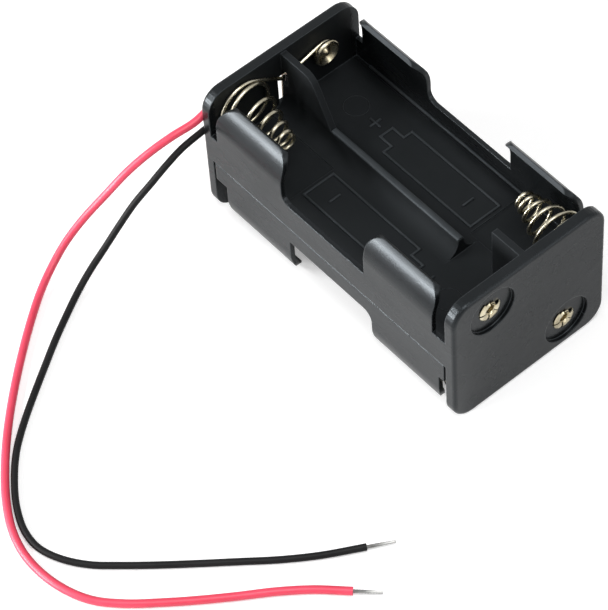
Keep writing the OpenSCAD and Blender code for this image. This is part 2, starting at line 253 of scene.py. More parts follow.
class NodeSheet:
    """A short way to write a material's nodes."""

    def __init__(self, name: str) -> None:
        """Starts an empty material with an output and a Principled shader."""
        self.material = bpy.data.materials.new(name)
        self.material.use_nodes = True
        self.tree = self.material.node_tree
        self.tree.nodes.clear()
        self.output = self.tree.nodes.new("ShaderNodeOutputMaterial")
        self.shader = self.tree.nodes.new("ShaderNodeBsdfPrincipled")
        self.link(self.shader, "BSDF", self.output, "Surface")
        self.place = self.tree.nodes.new("ShaderNodeTexCoord")

    def add(self, kind: str, **settings: object) -> bpy.types.Node:
        """Adds a node.

        Args:
            kind: The node's Blender type.
            **settings: Properties of the node, or values of its inputs by name.

        Returns:
            The new node.
        """
        node = self.tree.nodes.new(kind)
        for key, value in settings.items():
            if hasattr(node, key):
                setattr(node, key, value)
            else:
                node.inputs[key.replace("_", " ")].default_value = value
        return node

    def link(self, a: bpy.types.Node, out: str | int, b: bpy.types.Node, into: str | int) -> None:
        """Links an output of one node to an input of another."""
        self.tree.links.new(a.outputs[out], b.inputs[into])

    def noise(self, scale: float, detail: float = 3, rough: float = 0.5,
              stretch: Point = (1, 1, 1)) -> bpy.types.Node:
        """Adds a noise pattern on the piece's own coordinates.

        Args:
            scale: Repeats in a metre.
            detail: Octaves of the noise.
            rough: How strong its fine octaves are.
            stretch: How much finer the noise is along each axis.

        Returns:
            The noise node.
        """
        mapping = self.add("ShaderNodeMapping")
        mapping.inputs["Scale"].default_value = stretch
        self.link(self.place, "Object", mapping, "Vector")
        noise = self.add("ShaderNodeTexNoise", Scale=scale, Detail=detail, Roughness=rough)
        self.link(mapping, "Vector", noise, "Vector")
        return noise

    def ramp(self, source: bpy.types.Node, out: str | int,
             stops: list[tuple[float, Point]]) -> bpy.types.Node:
        """Maps a value to colours through stops."""
        ramp = self.add("ShaderNodeValToRGB")
        for stop, (place, colour) in zip(ramp.color_ramp.elements, stops):
            stop.position = place
            stop.color = (*colour, 1.0)
        self.link(source, out, ramp, "Fac")
        return ramp

    def spread(self, source: bpy.types.Node, out: str | int,
               limits: tuple[float, float]) -> bpy.types.Node:
        """Maps a value from 0 to 1 onto the span between two limits."""
        spread = self.add("ShaderNodeMapRange", To_Min=limits[0], To_Max=limits[1])
        self.link(source, out, spread, "Value")
        return spread

    def bump(self, source: bpy.types.Node, out: str | int, depth: float, strength: float,
             under: bpy.types.Node | None = None) -> bpy.types.Node:
        """Adds a bump of a real depth, in metres, on top of another normal."""
        bump = self.add("ShaderNodeBump", Strength=strength, Distance=depth)
        self.link(source, out, bump, "Height")
        if under is not None:
            self.link(under, "Normal", bump, "Normal")
        return bump


@dataclass(frozen=True)
class MouldedPlastic:
    """Satin black moulded plastic with a fine spark-eroded skin.

    Attributes:
        name: The material's name.
        dark: The darker of its two tones.
        light: The paler of its two tones.
        roughness: Its roughness outside, from the glossiest patch to the dullest.
        inner_roughness: Its roughness on the floors of the bays.
        shine: Its specular level outside and on the floors of the bays, where it is lower as
            painted shade.
        tint: The colour of its sheen.
        edge: How far its edges look rounded, in metres.
        painted_edge_highlight: The paler tone painted on its edges as a highlight.
        grain_depth: The depth of the spark-eroded grain, in metres.
        wave_depth: The depth of the waves that the flow of the plastic left, in metres.
    """

    name: str = "moulded_plastic"
    dark: Point = (0.0045, 0.0052, 0.0056)
    light: Point = (0.0078, 0.0086, 0.0092)
    roughness: tuple[float, float] = (0.17, 0.36)
    inner_roughness: float = 0.7
    shine: tuple[float, float] = (0.28, 0.22)
    tint: Point = (0.84, 0.93, 1.0)
    edge: float = 0.0003
    # A paler tone painted on the edges: a painted highlight.
    painted_edge_highlight: Point = (0.036, 0.041, 0.044)
    grain_depth: float = 0.00002
    wave_depth: float = 0.00012

    def build(self) -> bpy.types.Material:
        """Builds the material."""
        sheet = NodeSheet(self.name)
        clouds = sheet.noise(90, 4, 0.6)
        grain = sheet.noise(5200, 2, 0.5)
        flow = sheet.noise(260, 3, 0.55, (0.35, 1, 1))
        edge = sheet.add("ShaderNodeBevel", samples=6, Radius=self.edge)
        inside = self.inside(sheet)
        self.colour(sheet, clouds, edge)
        blend = sheet.add("ShaderNodeMix", B=self.inner_roughness)
        sheet.link(inside, 0, blend, "Factor")
        sheet.link(sheet.spread(flow, "Fac", self.roughness), "Result", blend, "A")
        sheet.link(blend, "Result", sheet.shader, "Roughness")
        skin = sheet.bump(grain, "Fac", self.grain_depth, 0.5, edge)
        wave = sheet.bump(flow, "Fac", self.wave_depth, 0.38, skin)
        sheet.link(wave, "Normal", sheet.shader, "Normal")
        # The lower specular level on the floors of the bays is painted shade that keeps them dark.
        shine = sheet.spread(inside, 0, self.shine)
        sheet.link(shine, "Result", sheet.shader, "Specular IOR Level")
        sheet.shader.inputs["Specular Tint"].default_value = (*self.tint, 1.0)
        return sheet.material

    def colour(self, sheet: NodeSheet, clouds: bpy.types.Node, edge: bpy.types.Node) -> None:
        """Colours the faces in two clouded tones and the edges in a paler one, a painted highlight
        for the light that rounded edges catch.

        Args:
            sheet: The material's nodes.
            clouds: The noise that parts the two tones.
            edge: The bevel node.
        """
        tone = sheet.ramp(clouds, "Fac", [(0.35, self.dark), (0.7, self.light)])
        # Paints the edges paler: a painted highlight for the light that rounded edges catch.
        painted_highlight = sheet.add("ShaderNodeMix", data_type="RGBA", blend_type="MIX")
        painted_highlight.inputs[MIX_COLOUR_B].default_value = (*self.painted_edge_highlight, 1.0)
        sheet.link(self.rim(sheet, edge), "Result", painted_highlight, "Factor")
        sheet.link(tone, "Color", painted_highlight, MIX_COLOUR_A)
        sheet.link(painted_highlight, MIX_COLOUR_RESULT, sheet.shader, "Base Color")

    @staticmethod
    def rim(sheet: NodeSheet, edge: bpy.types.Node) -> bpy.types.Node:
        """Finds the edges, where a paler tone is painted as a highlight for the light that they
        catch.

        Args:
            sheet: The material's nodes.
            edge: The bevel node, whose normal leans away from the face near an edge.

        Returns:
            A node that gives 1 on an edge and 0 on a face.
        """
        shape = sheet.add("ShaderNodeNewGeometry")
        lean = sheet.add("ShaderNodeVectorMath", operation="DOT_PRODUCT")
        sheet.link(shape, "True Normal", lean, 0)
        sheet.link(edge, "Normal", lean, 1)
        rim = sheet.add("ShaderNodeMapRange", From_Min=0.985, From_Max=0.82, To_Min=0.0,
                        To_Max=1.0)
        sheet.link(lean, "Value", rim, "Value")
        return rim

    @staticmethod
    def inside(sheet: NodeSheet) -> bpy.types.Node:
        """Finds the floors of the bays, which the mould left rougher than the outside and which
        take a lower specular level as painted shade.

        Args:
            sheet: The material's nodes.

        Returns:
            A node that gives 1 inside the bays and 0 outside them.
        """
        split = sheet.add("ShaderNodeSeparateXYZ")
        sheet.link(sheet.place, "Object", split, "Vector")
        both = sheet.add("ShaderNodeMath", operation="MULTIPLY")
        fades = (("X", 0.0284, 0.0286), ("Y", 0.0115, 0.0145))
        for socket, (axis, start, end) in enumerate(fades):
            size = sheet.add("ShaderNodeMath", operation="ABSOLUTE")
            sheet.link(split, axis, size, 0)
            fade = sheet.add("ShaderNodeMapRange", From_Min=start, From_Max=end, To_Min=1.0,
                             To_Max=0.0)
            sheet.link(size, 0, fade, "Value")
            sheet.link(fade, "Result", both, socket)
        return both


@dataclass(frozen=True)
class Plated:
    """Bright plated or tinned metal with faint drawing marks and tarnish."""

    name: str
    bright: Point
    dull: Point
    roughness: tuple[float, float]
    mark_scale: float = 900
    depth: float = 0.00002

    def build(self) -> bpy.types.Material:
        """Builds the material."""
        sheet = NodeSheet(self.name)
        patches = sheet.noise(self.mark_scale / 3, 3, 0.6)
        marks = sheet.noise(self.mark_scale, 4, 0.6)
        tone = sheet.ramp(patches, "Fac", [(0.35, self.dull), (0.62, self.bright)])
        sheet.link(tone, "Color", sheet.shader, "Base Color")
        gloss = sheet.spread(marks, "Fac", self.roughness)
        sheet.link(gloss, "Result", sheet.shader, "Roughness")
        skin = sheet.bump(marks, "Fac", self.depth, 0.4)
        sheet.link(skin, "Normal", sheet.shader, "Normal")
        sheet.shader.inputs["Metallic"].default_value = 1.0
        return sheet.material


@dataclass(frozen=True)
class Insulation:
    """Soft extruded insulation, a little uneven along its length."""

    name: str
    deep: Point
    pale: Point
    roughness: tuple[float, float] = (0.34, 0.5)
    specular: float = 0.5
    coat: float = 0.15

    def build(self) -> bpy.types.Material:
        """Builds the material."""
        sheet = NodeSheet(self.name)
        cloud = sheet.noise(140, 3, 0.5)
        skin = sheet.noise(1500, 3, 0.6)
        tone = sheet.ramp(cloud, "Fac", [(0.3, self.deep), (0.7, self.pale)])
        sheet.link(tone, "Color", sheet.shader, "Base Color")
        gloss = sheet.spread(skin, "Fac", self.roughness)
        sheet.link(gloss, "Result", sheet.shader, "Roughness")
        bump = sheet.bump(skin, "Fac", 0.00003, 0.3)
        sheet.link(bump, "Normal", sheet.shader, "Normal")
        sheet.shader.inputs["Specular IOR Level"].default_value = self.specular
        sheet.shader.inputs["Coat Weight"].default_value = self.coat
        sheet.shader.inputs["Coat Roughness"].default_value = 0.3
        return sheet.material


@dataclass(frozen=True)
class StudioPaper:
    """White paper that the camera and reflections see as white, and that keeps a shadow.

    Attributes:
        name: The material's name.
        colour: Its palest tone.
        fibre_shade: How much darker its darkest tone is.
        seen_glow: The light that it gives off towards the camera.
        mirrored_glow: The light that it gives off in reflections.
    """

    name: str = "studio_paper"
    colour: Point = (0.86, 0.86, 0.86)
    fibre_shade: float = 0.985
    seen_glow: float = 0.36
    mirrored_glow: float = 0.1

    def build(self) -> bpy.types.Material:
        """Builds the material."""
        sheet = NodeSheet(self.name)
        fibre = sheet.noise(600, 4, 0.6)
        shaded = tuple(self.fibre_shade * c for c in self.colour)
        tone = sheet.ramp(fibre, "Fac", [(0.2, shaded), (0.8, self.colour)])
        sheet.link(tone, "Color", sheet.shader, "Base Color")
        sheet.shader.inputs["Roughness"].default_value = 0.9
        sheet.shader.inputs["Specular IOR Level"].default_value = 0.0
        path = sheet.add("ShaderNodeLightPath")
        seen = sheet.add("ShaderNodeMath", operation="MULTIPLY")
        seen.inputs[1].default_value = self.seen_glow
        mirrored = sheet.add("ShaderNodeMath", operation="MAXIMUM")
        strength = sheet.add("ShaderNodeMath", operation="MULTIPLY_ADD")
        strength.inputs[1].default_value = self.mirrored_glow
        sheet.link(path, "Is Camera Ray", seen, 0)
        sheet.link(path, "Is Glossy Ray", mirrored, 0)
        sheet.link(path, "Is Transmission Ray", mirrored, 1)
        sheet.link(mirrored, 0, strength, 0)
        sheet.link(seen, 0, strength, 2)
        glow = sheet.add("ShaderNodeEmission")
        sheet.link(strength, 0, glow, "Strength")
        both = sheet.add("ShaderNodeAddShader")
        sheet.link(sheet.shader, "BSDF", both, 0)
        sheet.link(glow, 0, both, 1)
        sheet.link(both, 0, sheet.output, "Surface")
        return sheet.material


# Studio


@dataclass
class Studio:
    """Camera, lamps, sky and floor.

    Attributes:
        camera_at: The camera's place.
        camera_turn: Its turn, in degrees.
        lens: Its focal length, in millimetres.
        sky: The strength of the sky where it lights matt surfaces.
        horizon: The strength of the sky's foot in reflections.
        zenith: The strength of the sky's top in reflections.
        floor_size: The side of the paper.
        floor_drop: How far the paper lies below the holder, so that their faces don't meet.
        target: The place that the lamps face.
        lamps: For each lamp its place, its two sides and its power in watts.
    """

    camera_at: Point = (0.26380, -0.21911, 0.44342)
    camera_turn: Point = (36.932, 2.800, 49.418)
    lens: float = 200.38
    sky: float = 0.3
    horizon: float = 1.0
    zenith: float = 1.0
    floor_size: float = 3.0
    floor_drop: float = 0.00002
    target: Point = (0, 0, 0.01)
    lamps: dict[str, tuple[Point, tuple[float, float], float]] = field(default_factory=lambda: {
        "key_box": ((-0.37, -0.68, 0.13), (0.5, 0.16), 8.6),
        "lip_box": ((-0.30, -0.42, 0.40), (0.30, 0.035), 1.9),
        "top_box": ((0.20, -0.06, 0.75), (0.45, 0.45), 3.4),
        "side_box": ((0.62, 0.20, 0.32), (0.3, 0.3), 0.7),
    })

    def build(self) -> None:
        """Sets up everything that isn't part of the object."""
        self.camera()
        self.light()
        self.world()
        self.floor()

    def camera(self) -> None:
        """Places the camera and makes it the scene's."""
        clear_selection()
        bpy.ops.object.camera_add(location=self.camera_at,
                                  rotation=[math.radians(a) for a in self.camera_turn])
        camera = bpy.context.object
        camera.name = "camera"
        camera.data.lens = self.lens
        camera.data.sensor_width = 36
        camera.data.clip_start, camera.data.clip_end = 0.01, 20
        bpy.context.scene.camera = camera
        bpy.context.scene.view_settings.view_transform = "Standard"

    def light(self) -> None:
        """Hangs the soft lamps."""
        for name, (place, size, power) in self.lamps.items():
            clear_selection()
            bpy.ops.object.light_add(type="AREA", location=place)
            lamp = bpy.context.object
            lamp.name = name
            lamp.data.shape = "RECTANGLE"
            lamp.data.size, lamp.data.size_y = size
            lamp.data.energy = power
            turn = (Vector(self.target) - Vector(place)).to_track_quat("-Z", "Y")
            lamp.rotation_euler = turn.to_euler()

    def world(self) -> None:
        """Makes the sky: white where it is seen, softer where it only lights."""
        world = bpy.data.worlds.new("studio_sky")
        bpy.context.scene.world = world
        world.use_nodes = True
        tree = world.node_tree
        tree.nodes.clear()
        out = tree.nodes.new("ShaderNodeOutputWorld")
        place = tree.nodes.new("ShaderNodeTexCoord")
        split = tree.nodes.new("ShaderNodeSeparateXYZ")
        height = tree.nodes.new("ShaderNodeMapRange")
        for name, value in (("From Min", 0.0), ("From Max", 0.9), ("To Min", self.horizon),
                            ("To Max", self.zenith)):
            height.inputs[name].default_value = value
        seen, lit, mirrored = (tree.nodes.new("ShaderNodeBackground") for _ in range(3))
        lit.inputs["Strength"].default_value = self.sky
        path = tree.nodes.new("ShaderNodeLightPath")
        mix_mirrored = tree.nodes.new("ShaderNodeMixShader")
        mix_seen = tree.nodes.new("ShaderNodeMixShader")
        for a, out_socket, b, socket in (
                (place, "Generated", split, 0), (split, "Z", height, "Value"),
                (height, "Result", mirrored, "Strength"), (path, "Is Glossy Ray", mix_mirrored, 0),
                (lit, 0, mix_mirrored, 1), (mirrored, 0, mix_mirrored, 2),
                (path, "Is Camera Ray", mix_seen, 0), (mix_mirrored, 0, mix_seen, 1),
                (seen, 0, mix_seen, 2), (mix_seen, 0, out, "Surface")):
            tree.links.new(a.outputs[out_socket], b.inputs[socket])

    def floor(self) -> None:
        """Lays the paper that the holder stands on."""
        clear_selection()
        bpy.ops.mesh.primitive_plane_add(size=self.floor_size,
                                         location=(0, 0, -self.floor_drop))
        floor = bpy.context.object
        floor.name = "studio_floor"
        bpy.ops.object.transform_apply(location=True, rotation=True, scale=True)
        dress(floor, StudioPaper().build())


# Leads

RED_ROUTE: list[Point] = [
    (-31.22, -6.52, 6.67), (-31.22, -4.2, 8.2), (-31.3, -2.4, 11.2), (-31.7, -1.9, 14.4),
    (-32.05, -2.7, 17.7), (-32.1, -4.5, 20.4), (-32, -7, 22), (-31.7, -10.2, 22.4),
    (-31.4, -13.6, 22), (-31.3, -17, 21.2),
    (-32.1, -21, 20.3), (-33.3, -25, 18.4), (-34.7, -28.8, 15.5), (-36.3, -32.8, 11.2),
    (-37.8, -37, 6.8), (-38.1, -40.8, 3.7), (-37, -44.9, 1.6), (-34.8, -49, 0.8),
    (-31.3, -53.7, 0.72), (-27.4, -58.4, 0.72), (-23.4, -62.9, 0.72), (-19.2, -67.3, 0.72),
    (-15, -71.3, 0.72), (-10.6, -75, 0.72), (-6, -78.3, 0.72), (-1, -81, 0.72),
    (4, -82.4, 0.72), (9, -82.5, 0.72), (13.6, -81.6, 0.72), (17.8, -79.7, 0.72),
    (21.6, -76.4, 0.72), (25.1, -72.3, 0.72), (28.9, -67.4, 0.72), (32.4, -62.5, 0.72),
    (35.6, -57.8, 0.72), (39.2, -53.3, 0.72), (43.5, -49, 0.72)]
BLACK_ROUTE: list[Point] = [
    (-31.12, -7.8, 18.5), (-31.12, -10.4, 18.5), (-31.12, -13.5, 18.3), (-31.12, -17, 17.9),
    (-31.1, -20.4, 17.3), (-31.1, -23.8, 15.8), (-31.4, -27, 13.5), (-32.1, -30.2, 10.5),
    (-32.5, -33.6, 7), (-32.5, -37, 4), (-32, -40.6, 1.9), (-30.7, -44.2, 0.85),
    (-28.4, -48.4, 0.62), (-25.6, -53, 0.62), (-22.4, -57.8, 0.62), (-19.2, -62.5, 0.62),
    (-15.9, -67.1, 0.62), (-12.4, -71.3, 0.62), (-8.3, -74.9, 0.62), (-3.8, -77.9, 0.62),
    (0.6, -79.7, 0.62), (4.4, -80, 0.62), (8.3, -78.7, 0.62), (12.2, -76.1, 0.62),
    (15.6, -72.6, 0.62), (19.5, -68.2, 0.62), (23.6, -63.3, 0.62), (27.6, -58.4, 0.62),
    (31.5, -53.6, 0.62), (35.1, -48.5, 0.62), (38.8, -42.1, 0.62)]


@dataclass
class Lead:
    """One insulated lead with a bare, twisted and tinned end.

    Attributes:
        name: The node that it stands for.
        route: The points that its insulation passes, in millimetres.
        diameter: The insulation's diameter.
        length: The cord's length; not used.
        finish: The insulation's finish.
        bare_length: How far the bare end reaches out of the insulation.
        strand: A strand's radius.
        strands: How many strands lie round the middle one.
        spacing: How far a strand's middle lies from the end's axis, in strand radii.
        twist: The length of one turn of the strands.
        narrowing: How much closer the strands lie at their tip, as a share.
        step: The longest distance between two points of the line.
    """

    name: str
    route: list[Point]
    diameter: float
    length: float
    finish: Insulation
    bare_length: float = 4.7 * MM
    strand: float = 0.105 * MM
    strands: int = 6
    spacing: float = 1.9
    twist: float = 2.6 * MM
    narrowing: float = 0.35
    step: float = 0.9 * MM

    def build(self, tin: bpy.types.Material) -> None:
        """Args:
            tin: The finish of the bare end.
        """
        points = [Vector(p) * MM for p in self.route]
        line = smooth_line(points, self.step)
        piece = tube(f"{self.name}_insulation", line, self.diameter / 2, 20)
        dress(piece, self.finish.build())
        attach(piece, "root")
        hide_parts(self.name)
        end = self.bare_end(line, tin)
        LOG.info("%s: %d points", piece.name, len(line))

    def bare_end(self, line: list[Vector], tin: bpy.types.Material) -> bpy.types.Object:
        """Twists the strands round a straight one out of the insulation's end.

        Args:
            line: The lead's own line.
            tin: The strands' finish.

        Returns:
            The twisted end, as one piece.
        """
        tip = line[-1]
        along = (tip - line[-2]).normalized()
        aside = along.cross(Vector((0, 0, 1))).normalized()
        up = aside.cross(along)
        reach, pieces = 0.985 * self.bare_length, 24
        strands = []
        for i in range(self.strands + 1):
            offset = 0.0 if i == self.strands else self.spacing * self.strand
            path = []
            for s in (k / pieces for k in range(pieces + 1)):
                angle = math.tau * (i / self.strands + s * self.bare_length / self.twist)
                narrow = offset * (1.0 - self.narrowing * s * s)
                path.append(tip + along * (reach * s)
                            + narrow * (math.cos(angle) * aside + math.sin(angle) * up))
            strands.append(tube(f"{self.name}_strand_{i}", path, self.strand, 8))
        end = join(strands, f"{self.name}_strands")
        dress(end, tin)
        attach(end, "root")
        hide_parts(self.name.replace("lead", "bare_end"))
        return end


# Contacts

# Places in the holder, in millimetres: a cell's axis from the middle planes, the height of the
# middle plane, the end plates' and the side walls' inner faces, and the web's top above the
# middle plane.
CELL_Y, CELL_Z, MID_Z = 7.925, 8.25, 14.1
INNER_X, WALL_IN, WEB_TOP = 28.45, 15.25, 1.0


class Place(Enum):
    """Where a contact sits: which end plate, which side and which layer."""

    UPPER_FRONT_LEAD_END = (-1, -1, 1)
    UPPER_BACK_LEAD_END = (-1, 1, 1)
    LOWER_BACK_LEAD_END = (-1, 1, -1)
    LOWER_FRONT_LEAD_END = (-1, -1, -1)
    UPPER_FRONT_RIVET_END = (1, -1, 1)
    UPPER_BACK_RIVET_END = (1, 1, 1)
    LOWER_BACK_RIVET_END = (1, 1, -1)
    LOWER_FRONT_RIVET_END = (1, -1, -1)


def touch(start: tuple[float, float], centre: tuple[float, float], radius: float,
          turn: int) -> float:
    """Returns the angle, in radians, at which a line from a point touches a circle."""
    y, z = start[0] - centre[0], start[1] - centre[1]
    return math.atan2(z, y) + turn * math.acos(radius / math.hypot(y, z))


@dataclass
class ContactSpring:
    """A conical contact spring, wound on from a tail that reaches its neighbour or a lead.

    Its lengths are in millimetres.

    Attributes:
        name: The node that it stands for.
        place: Where it sits.
        wire: The wire's diameter.
        base: The radius of the turn on the end plate.
        tip: The radius of the turn at the cell.
        turns: Turns of the cone after the one on the plate.
        reach: How far the last turn's middle lies from the plate.
        first_rise: How far the first turn climbs.
        closing: How much closer the turns lie towards the tip, as a power.
        taper: How fast the cone narrows, as a power.
        seat: How far the wire's middle lies from the face that it rests on.
        centre: The axis from the middle planes, in Y and Z.
        belt_shift: How far the axis stands nearer the wall where the tail is a belt.
        belt_lean: How far its tip stands aside there.
        eye_radius: The radius of the tail's loop round a rivet.
        eye_turn: How far that loop goes round, in degrees.
        eye_points: How many points the loop has.
        slot: Where the tail passes the slot, to a lead and to the upper rivet.
        slot_height: Where the slot's end lies above the middle plane.
        plate: The end plate's thickness.
        channel: The depth of the channel outside it.
        lead_overlap: How far the tail runs beyond the start of the black lead.
        steps: Points in a turn.
        step: The longest distance between two points of the wire.
    """

    name: str
    place: Place
    wire: float = 0.7
    base: float = 4.7
    tip: float = 1.45
    turns: int = 5
    reach: float = 11.3
    first_rise: float = 0.8
    closing: float = 1.5
    taper: float = 1.6
    seat: float = 0.37
    centre: tuple[float, float] = (9.125, 7.9)
    belt_shift: float = 0.5
    belt_lean: float = 1.2
    eye_radius: float = 1.7
    eye_turn: float = 290
    eye_points: int = 12
    slot: tuple[float, float] = (-1.15, 0.75)
    slot_height: float = 7.95
    plate: float = 2.05
    channel: float = 1.0
    lead_overlap: float = 1.54
    steps: int = 16
    step: float = 0.35

    def coil(self, angle: float, lean: float = 0.0, shift: float = 0.0) -> list[Vector]:
        """Winds the turns from the end plate to the tip.

        Args:
            angle: Where the first turn starts, in radians.
            lean: How far the tip stands aside of the axis.
            shift: How far the axis stands nearer the wall.

        Returns:
            Points as distance from the plate, Y and height above the web's middle.
        """
        points = []
        cone = self.reach - self.seat - self.first_rise
        for i in range(self.steps * (self.turns + 1) + 1):
            turn = i / self.steps
            if turn < 1:
                rise, radius = self.first_rise * turn * turn, self.base
            else:
                left = 1 - (turn - 1) / self.turns
                rise = self.first_rise + cone * (1 - left ** self.closing)
                radius = self.tip + (self.base - self.tip) * left ** self.taper
            a = angle + math.tau * turn
            points.append(Vector((self.seat + rise,
                                  self.centre[0] + shift + radius * math.cos(a)
                                  + lean * (self.seat + rise) / self.reach,
                                  self.centre[1] + radius * math.sin(a))))
        return points

    def eye(self, angle: float, y: float) -> list[Vector]:
        """Loops the tail round a rivet's shank, ending at an angle in radians."""
        last = self.eye_points - 1
        angles = (angle - math.radians(self.eye_turn) * (last - i) / last for i in range(last + 1))
        return [Vector((self.seat, y + self.eye_radius * math.cos(a),
                        CELL_Z + self.eye_radius * math.sin(a))) for a in angles]

    def bend(self, y: float, side: int) -> list[Vector]:
        """Takes the tail out through one end of the slot."""
        low = self.slot_height
        return [Vector((u, y, side * z)) for u, z in (
            (self.seat, low + 0.2), (0.1, low - 0.05), (-0.4, low - 0.45), (-1.0, low - 1.0))]

    def to_neighbour(self) -> list[Vector]:
        """Runs the tail along the plate to the eye round the neighbouring rivet."""
        y = self.centre[0] + self.belt_shift
        span = Vector((-CELL_Y - y, CELL_Z - self.centre[1]))
        along = span.normalized()
        slope = (self.base - self.eye_radius) / span.length
        across = -slope * along + math.sqrt(1 - slope * slope) * Vector((along.y, -along.x))
        angle = math.atan2(-across.y, -across.x)
        return self.eye(angle, -CELL_Y) + self.coil(angle, self.belt_lean, self.belt_shift)

    def to_upper_rivet(self) -> list[Vector]:
        """Climbs outside the end plate from the lower bay to the upper rivet."""
        y, low = self.slot[1], self.slot_height
        start = touch((y, -low - 0.2), (self.centre[0], -self.centre[1]), self.base, 1)
        leave = touch((y, low + 0.2), (CELL_Y, CELL_Z), self.eye_radius, -1)
        deep = self.channel - self.plate - self.seat
        climb = [Vector((deep, y, low - 1.7)), Vector((deep, y, 1.7 - low))]
        lower = [v - Vector((0, 0, 2 * self.centre[1])) for v in self.coil(start)]
        return (self.eye(leave, CELL_Y) + self.bend(y, 1) + climb
                + self.bend(y, -1)[::-1] + lower)

    def to_lead(self) -> list[Vector]:
        """Goes out through the slot to the black lead."""
        y, low, out = self.slot[0], self.slot_height, -self.plate - self.seat
        end_y, end_z = BLACK_ROUTE[0][1] + self.lead_overlap, BLACK_ROUTE[0][2] - MID_Z
        start = touch((y, low + 0.2), (-self.centre[0], self.centre[1]), self.base, 1)
        tail = [Vector(p) for p in (
            (out, end_y, end_z), (out, end_y + 0.8, end_z), (out, y - 0.4, low - 2),
            (out + 0.08, y, low - 1.75), (out + 0.7, y, low - 1.4))]
        turns = [v - Vector((0, 2 * self.centre[0], 0)) for v in self.coil(start)]
        return tail + self.bend(y, 1)[::-1] + turns

    def build(self, nickel: bpy.types.Material) -> None:
        """Draws the wire and puts it at its end plate.

        Args:
            nickel: The spring's finish.
        """
        end, _, layer = self.place.value
        if end > 0:
            points, turn = self.to_neighbour(), layer
        elif layer < 0:
            points, turn = self.to_upper_rivet(), 1
        else:
            points, turn = self.to_lead(), 1
        line = [Vector((end * (INNER_X - u), turn * y, MID_Z + turn * z)) * MM
                for u, y, z in points]
        line = smooth_line(line, self.step * MM)
        piece = tube(f"{self.name}_wire", line, self.wire / 2 * MM, 16)
        finish_piece(piece, nickel, self.name, 50)
        LOG.info("%s wound", piece.name)


@dataclass
class Rivet:
    """A hollow contact rivet: a dished head in the bay and a torn, spread end outside.

    Its lengths are in millimetres.

    Attributes:
        name: The node that it stands for.
        place: Where it sits.
        lift: How far the head stands off the end plate, on the wire round its shank.
        head: The head's thickness.
        face: The head's outline from its middle, as pairs of radius and depth.
        petals: For each petal its middle and its width in degrees, and its reach.
        hole: The radius of the hollow in the spread end.
        shank: The shank's radius.
        recess: How far the floor of the outer recess lies from the plate's inner face.
        sheet: The petals' thickness.
    """

    name: str
    place: Place
    lift: float = 0.74
    head: float = 0.95
    face: tuple[tuple[float, float], ...] = (
        (0.0, 0.02), (0.3, 0.07), (0.6, 0.25), (0.85, 0.52), (1.15, 0.66), (1.5, 0.5),
        (1.8, 0.2), (2.1, 0.0), (2.35, 0.08), (2.47, 0.26), (2.5, 0.48), (2.42, 0.72))
    petals: tuple[tuple[float, float, float], ...] = (
        (-12, 58, 2.2), (48, 54, 2.05), (98, 30, 1.45), (150, 36, 1.66), (206, 58, 2.16),
        (262, 50, 2.2), (310, 38, 2.12))
    hole: float = 0.82
    shank: float = 1.3
    recess: float = 1.37
    sheet: float = 0.12

    def build(self, brass: bpy.types.Material) -> None:
        """Spins the head and the shank, and tears the spread end.

        Args:
            brass: The rivet's finish.
        """
        end, side, layer = self.place.value
        centre = (end * INNER_X, side * CELL_Y, MID_Z + layer * CELL_Z)
        top = self.lift + self.head
        under = [(2.2, -self.lift - 0.02), (1.9, -self.lift), (self.shank, -self.lift)]
        hollow = [(self.shank, self.recess), (self.shank - 0.1, self.recess + 0.12),
                  (self.hole, self.recess + 0.05), (self.hole - 0.04, self.recess - 0.5),
                  (self.hole - 0.1, self.recess - 1.1), (0.0, self.recess - 1.2)]
        head = turned(f"{self.name}_contact",
                      [(r, depth - top) for r, depth in self.face] + under + hollow, centre, end)
        parts = [head] + [self.petal(centre, end, *petal) for petal in self.petals]
        finish_piece(join(parts, f"{self.name}_contact"), brass, self.name, 45)
        LOG.info("%s set", self.name)

    def petal(self, centre: Point, end: int, middle: float, width: float,
              reach: float) -> bpy.types.Object:
        """Bends one torn strip of the tube outwards.

        Args:
            centre: The rivet's axis, where the bay's face of the plate is.
            end: 1 or -1, the way out of the plate along X.
            middle: The angle of the strip's middle, in degrees.
            width: How wide the strip is, in degrees.
            reach: How far its end lies from the axis.

        Returns:
            The strip.
        """
        low, lip = self.recess + 0.02, reach - 0.12
        profile = [(self.hole + 0.06, low - 0.3), (self.hole + 0.12, low + 0.08),
                   (self.hole + 0.3, low + 0.26), (1.35, low + 0.34),
                   ((1.35 + lip) / 2, low + 0.3), (lip, low + 0.2), (reach, low + 0.08)]
        strip = turned("strip", profile, centre, end,
                       (middle - width / 2, middle + width / 2), 8)
        pick(strip)
        solid = strip.modifiers.new("sheet", "SOLIDIFY")
        solid.thickness = self.sheet * MM
        solid.offset = 0
        bpy.ops.object.modifier_apply(modifier=solid.name)
        bpy.ops.object.mode_set(mode="EDIT")
        bpy.ops.mesh.select_all(action="SELECT")
        bpy.ops.mesh.normals_make_consistent(inside=False)
        bpy.ops.object.mode_set(mode="OBJECT")
        return strip


# Holder


